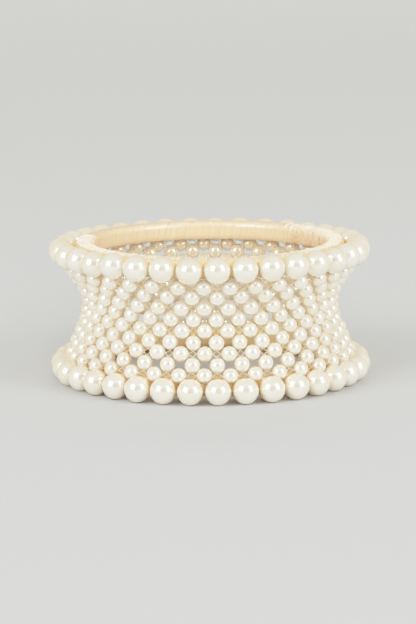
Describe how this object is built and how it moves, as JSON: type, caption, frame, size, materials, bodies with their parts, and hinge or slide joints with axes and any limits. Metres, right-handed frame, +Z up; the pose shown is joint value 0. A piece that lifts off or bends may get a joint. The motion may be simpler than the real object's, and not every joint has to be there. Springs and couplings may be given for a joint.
{
  "type": "beaded bangle",
  "caption": "Rigid waisted bangle: two ribbon-wound hoops, each ringed with large imitation pearls, joined by an open net of small pearls around a clear wrist opening.",
  "frame": {"origin": "on the surface the bangle stands on, under the centre of its wrist opening", "axes": "+Z up along the bangle's axis, through the wrist opening; -Y towards the front"},
  "size_m": [0.0772, 0.0774, 0.0346],
  "materials": {
    "pearl_lacquer": "pearl-essence lacquer on plastic beads, soft gloss, cream",
    "satin_ribbon": "cream satin ribbon and silk floss wound closely round the hoop"
  },
  "bodies": {
    "root": {"upper_hoop": "satin_ribbon", "lower_hoop": "satin_ribbon", "upper_pearl_01": "pearl_lacquer", "upper_pearl_02": "pearl_lacquer", "upper_pearl_03": "pearl_lacquer", "upper_pearl_04": "pearl_lacquer", "upper_pearl_05": "pearl_lacquer", "upper_pearl_06": "pearl_lacquer", "upper_pearl_07": "pearl_lacquer", "upper_pearl_08": "pearl_lacquer", "upper_pearl_09": "pearl_lacquer", "upper_pearl_10": "pearl_lacquer", "upper_pearl_11": "pearl_lacquer", "upper_pearl_12": "pearl_lacquer", "upper_pearl_13": "pearl_lacquer", "upper_pearl_14": "pearl_lacquer", "upper_pearl_15": "pearl_lacquer", "upper_pearl_16": "pearl_lacquer", "upper_pearl_17": "pearl_lacquer", "upper_pearl_18": "pearl_lacquer", "upper_pearl_19": "pearl_lacquer", "upper_pearl_20": "pearl_lacquer", "upper_pearl_21": "pearl_lacquer", "upper_pearl_22": "pearl_lacquer", "upper_pearl_23": "pearl_lacquer", "upper_pearl_24": "pearl_lacquer", "upper_pearl_25": "pearl_lacquer", "upper_pearl_26": "pearl_lacquer", "upper_pearl_27": "pearl_lacquer", "upper_pearl_28": "pearl_lacquer", "upper_pearl_29": "pearl_lacquer", "upper_pearl_30": "pearl_lacquer", "upper_pearl_31": "pearl_lacquer", "upper_pearl_32": "pearl_lacquer", "upper_pearl_33": "pearl_lacquer", "upper_pearl_34": "pearl_lacquer", "upper_pearl_35": "pearl_lacquer", "lower_pearls_01": "pearl_lacquer", "lower_pearls_02": "pearl_lacquer", "lower_pearls_03": "pearl_lacquer", "lower_pearls_04": "pearl_lacquer", "lower_pearls_05": "pearl_lacquer", "lower_pearls_06": "pearl_lacquer", "net_pearls_01": "pearl_lacquer", "net_pearls_02": "pearl_lacquer", "net_pearls_03": "pearl_lacquer", "net_pearls_04": "pearl_lacquer", "net_pearls_05": "pearl_lacquer", "net_pearls_06": "pearl_lacquer", "net_pearls_07": "pearl_lacquer", "net_pearls_08": "pearl_lacquer", "net_pearls_09": "pearl_lacquer", "net_pearls_10": "pearl_lacquer", "net_pearls_11": "pearl_lacquer", "net_pearls_12": "pearl_lacquer", "net_pearls_13": "pearl_lacquer", "net_pearls_14": "pearl_lacquer", "net_pearls_15": "pearl_lacquer", "net_pearls_16": "pearl_lacquer", "net_pearls_17": "pearl_lacquer"}
  },
  "joints": []
}
